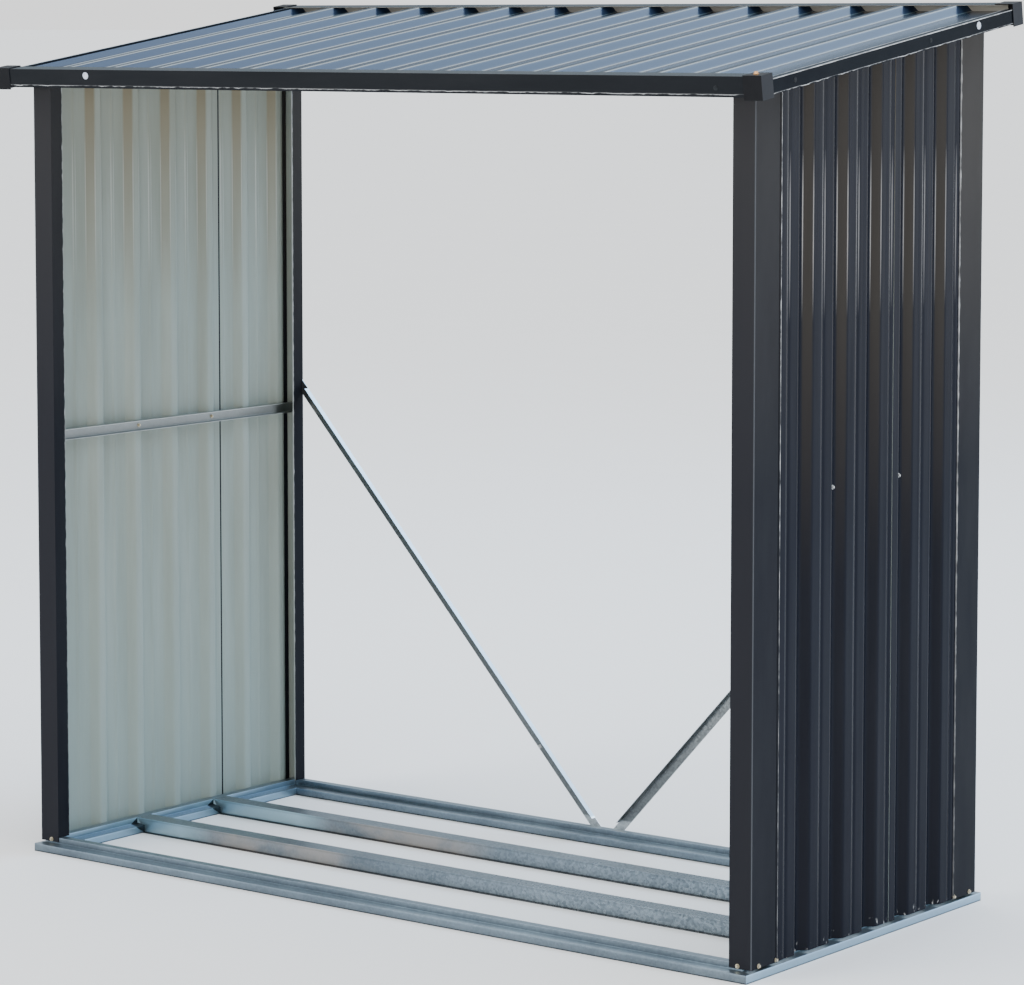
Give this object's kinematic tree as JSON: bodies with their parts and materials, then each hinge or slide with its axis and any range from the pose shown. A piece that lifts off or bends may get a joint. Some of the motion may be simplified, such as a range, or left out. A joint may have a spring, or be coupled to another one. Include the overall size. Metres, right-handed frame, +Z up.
{
  "type": "log store",
  "caption": "Open log store of ribbed sheet steel: a pent roof on two side walls and folded corner posts, open at the front and back, on galvanised base and floor rails with braces behind.",
  "frame": {"origin": "on the ground, in the middle of the store's width and depth", "axes": "+X to the right as seen from the open front, +Y to the back, +Z up"},
  "size_m": [1.63, 0.7812, 1.5216],
  "materials": {
    "painted_steel": "gloss, pale back coat inside",
    "galvanised_steel": "galvanised, spangled",
    "cap_plastic": "satin"
  },
  "bodies": {
    "root": {"front_base_rail": "galvanised_steel", "back_base_rail": "galvanised_steel", "left_base_rail": "galvanised_steel", "right_base_rail": "galvanised_steel", "front_floor_rail": "galvanised_steel", "back_floor_rail": "galvanised_steel", "left_wall_rail": "galvanised_steel", "right_wall_rail": "galvanised_steel", "left_brace": "galvanised_steel", "right_brace": "galvanised_steel", "left_top_rail": "galvanised_steel", "right_top_rail": "galvanised_steel", "front_top_rail": "galvanised_steel", "back_top_rail": "galvanised_steel", "front_left_post": "painted_steel", "front_right_post": "painted_steel", "back_left_post": "painted_steel", "back_right_post": "painted_steel", "left_front_wall_sheet": "painted_steel", "left_back_wall_sheet": "painted_steel", "right_front_wall_sheet": "painted_steel", "right_back_wall_sheet": "painted_steel", "left_roof_sheet": "painted_steel", "middle_roof_sheet": "painted_steel", "right_roof_sheet": "painted_steel", "front_fascia": "painted_steel", "back_fascia": "painted_steel", "left_fascia": "painted_steel", "right_fascia": "painted_steel", "front_left_cap": "cap_plastic", "front_right_cap": "cap_plastic", "back_left_cap": "cap_plastic", "back_right_cap": "cap_plastic"}
  },
  "joints": []
}
